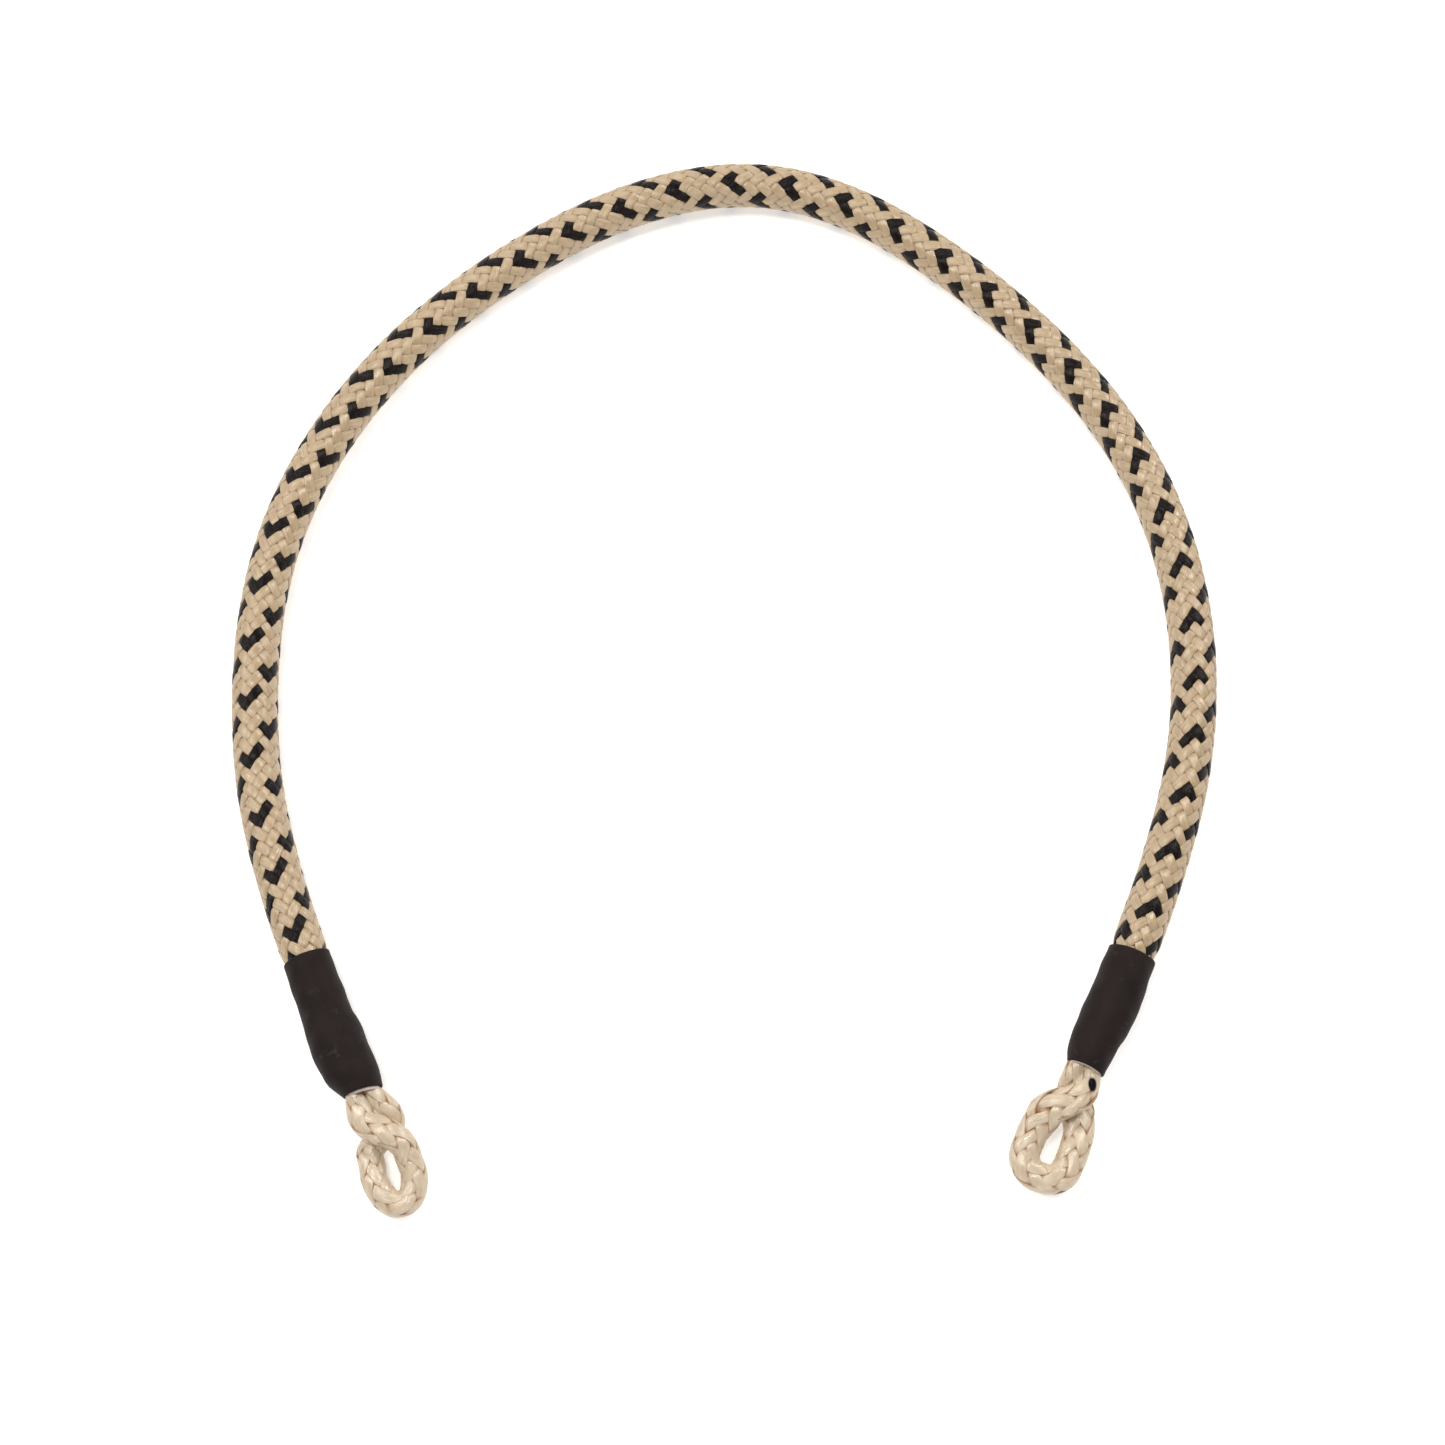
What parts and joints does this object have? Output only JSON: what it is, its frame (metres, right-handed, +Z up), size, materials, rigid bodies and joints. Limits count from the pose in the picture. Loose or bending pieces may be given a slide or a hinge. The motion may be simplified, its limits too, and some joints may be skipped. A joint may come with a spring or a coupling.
{
  "type": "rope noseband",
  "caption": "Arched braided rope noseband for a rope halter or bitless bridle, with a shrink sleeve and a spliced cord eye at each end.",
  "frame": {"origin": "on the surface that the noseband lies on, under the middle of its outline", "axes": "+X across the arch from the left end to the right end, +Y from the eyes to the crown, +Z up off the surface"},
  "size_m": [0.1721, 0.194, 0.0099],
  "materials": {
    "cover_braid": "24-carrier braid of beige and black filament polyester, satin",
    "core_braid": "undyed cream hollow braid, glossy filaments",
    "shrink_sleeve": "heat-shrunk polyolefin, matt brownish black",
    "adhesive_liner": "set hot-melt adhesive, milky",
    "sewing_thread": "waxed whipping twine"
  },
  "bodies": {
    "left_arch": {"left_cover": "cover_braid", "left_core": "core_braid", "left_sleeve": "shrink_sleeve", "left_liner": "adhesive_liner", "left_whipping": "sewing_thread", "left_tail": "core_braid", "left_stitches": "sewing_thread"},
    "right_arch": {"right_cover": "cover_braid", "right_core": "core_braid", "right_sleeve": "shrink_sleeve", "right_liner": "adhesive_liner", "right_whipping": "sewing_thread", "right_tail": "core_braid", "right_stitches": "sewing_thread"},
    "left_loop": {"left_eye": "core_braid"},
    "right_loop": {"right_eye": "core_braid"}
  },
  "joints": [
    {"name": "crown_flex", "type": "hinge", "parent": "left_arch", "child": "right_arch", "pos_m": [0, 0.09275, 0.004], "axis": [0, 0, 1], "range_deg": [-25, 40], "stiffness_Nm_per_rad": 0.01},
    {"name": "left_eye_fold", "type": "hinge", "parent": "left_arch", "child": "left_loop", "pos_m": [-0.05887, -0.07873, 0.00509], "axis": [-0.892, -0.4521, 0], "range_deg": [-50, 50], "stiffness_Nm_per_rad": 0.004},
    {"name": "right_eye_fold", "type": "hinge", "parent": "right_arch", "child": "right_loop", "pos_m": [0.05841, -0.07475, 0.00473], "axis": [-0.8995, 0.4369, 0], "range_deg": [-50, 50], "stiffness_Nm_per_rad": 0.004}
  ]
}
